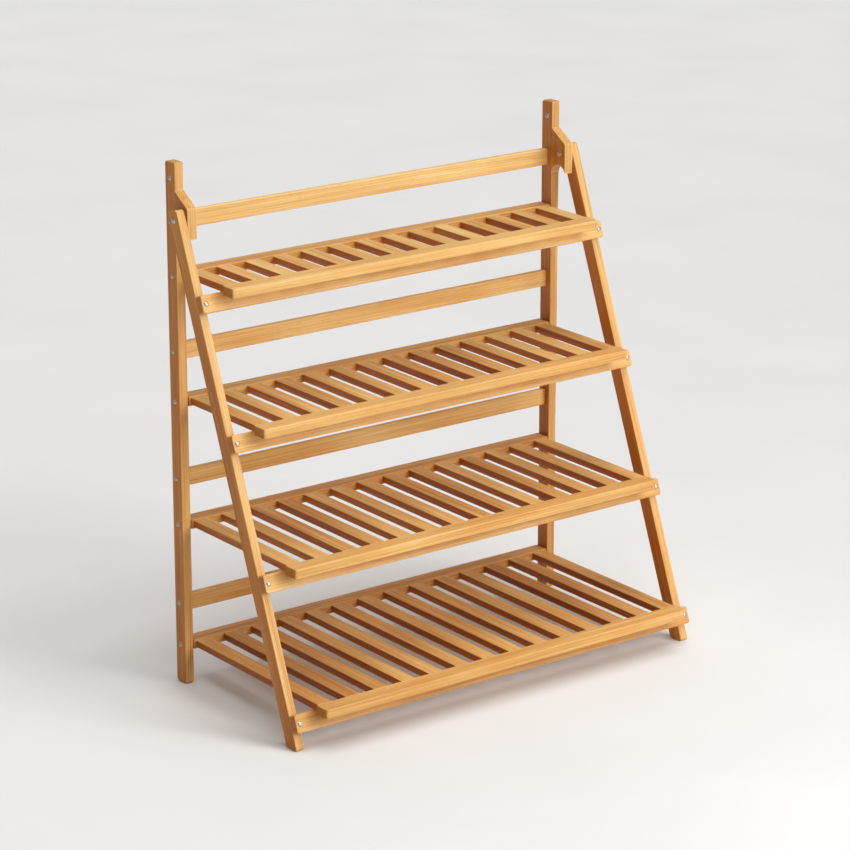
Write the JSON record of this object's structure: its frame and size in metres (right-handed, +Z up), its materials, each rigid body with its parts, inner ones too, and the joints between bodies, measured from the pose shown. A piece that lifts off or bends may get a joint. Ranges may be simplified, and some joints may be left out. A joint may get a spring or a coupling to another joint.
{
  "type": "shoe rack",
  "caption": "Folding tiered shoe rack in honey-coloured wood: slatted shelves that grow deeper downwards, on an upright rear frame and a slanted front frame.",
  "frame": {"origin": "on the floor, in the middle of the rack's outline", "axes": "+X to the rack's right seen from behind its front edge looking back, +Y from the front to the back, +Z up"},
  "size_m": [0.742, 0.3664, 0.8],
  "materials": {
    "wood": "satin clear lacquer over honey-coloured wood",
    "steel": "plated steel screw and bolt heads"
  },
  "bodies": {
    "rear_frame": {"rear_upright_left": "wood", "hinge_block_left": "wood", "rear_upright_right": "wood", "hinge_block_right": "wood", "back_rail_1": "wood", "back_rail_2": "wood", "back_rail_3": "wood", "back_rail_4": "wood", "back_rail_screws": "steel", "shelf_pivot_screws": "steel", "frame_pivot_bolts": "steel", "frame_pivot_nuts": "steel", "frame_pivot_washers": "steel", "upright_top_bolts": "steel"},
    "front_frame": {"front_leg_left": "wood", "front_leg_right": "wood", "front_crossbar_1": "wood", "front_crossbar_2": "wood", "front_crossbar_3": "wood", "front_crossbar_4": "wood", "crossbar_screws": "steel"},
    "shelf_1": {"shelf_1_front_rail": "wood", "shelf_1_pivot_bar": "wood", "shelf_1_slats": "wood"},
    "shelf_2": {"shelf_2_front_rail": "wood", "shelf_2_pivot_bar": "wood", "shelf_2_slats": "wood"},
    "shelf_3": {"shelf_3_front_rail": "wood", "shelf_3_pivot_bar": "wood", "shelf_3_slats": "wood"},
    "shelf_4": {"shelf_4_front_rail": "wood", "shelf_4_pivot_bar": "wood", "shelf_4_slats": "wood"}
  },
  "joints": [
    {"name": "front_frame_swing", "type": "hinge", "parent": "rear_frame", "child": "front_frame", "pos_m": [0, 0.14024, 0.722], "axis": [-1, 0, 0], "range_deg": [0, 30]},
    {"name": "shelf_1_flip", "type": "hinge", "parent": "rear_frame", "child": "shelf_1", "pos_m": [0, 0.17074, 0.6305], "axis": [-1, 0, 0], "range_deg": [0, 78]},
    {"name": "shelf_2_flip", "type": "hinge", "parent": "rear_frame", "child": "shelf_2", "pos_m": [0, 0.17074, 0.4405], "axis": [-1, 0, 0], "range_deg": [0, 78]},
    {"name": "shelf_3_flip", "type": "hinge", "parent": "rear_frame", "child": "shelf_3", "pos_m": [0, 0.17074, 0.2505], "axis": [-1, 0, 0], "range_deg": [0, 78]},
    {"name": "shelf_4_flip", "type": "hinge", "parent": "rear_frame", "child": "shelf_4", "pos_m": [0, 0.17074, 0.0605], "axis": [-1, 0, 0], "range_deg": [0, 78]}
  ],
  "couplings": [
    {"joint": "shelf_1_flip", "follows": "front_frame_swing", "ratio": 2.6},
    {"joint": "shelf_2_flip", "follows": "front_frame_swing", "ratio": 2.6},
    {"joint": "shelf_3_flip", "follows": "front_frame_swing", "ratio": 2.6},
    {"joint": "shelf_4_flip", "follows": "front_frame_swing", "ratio": 2.6}
  ]
}
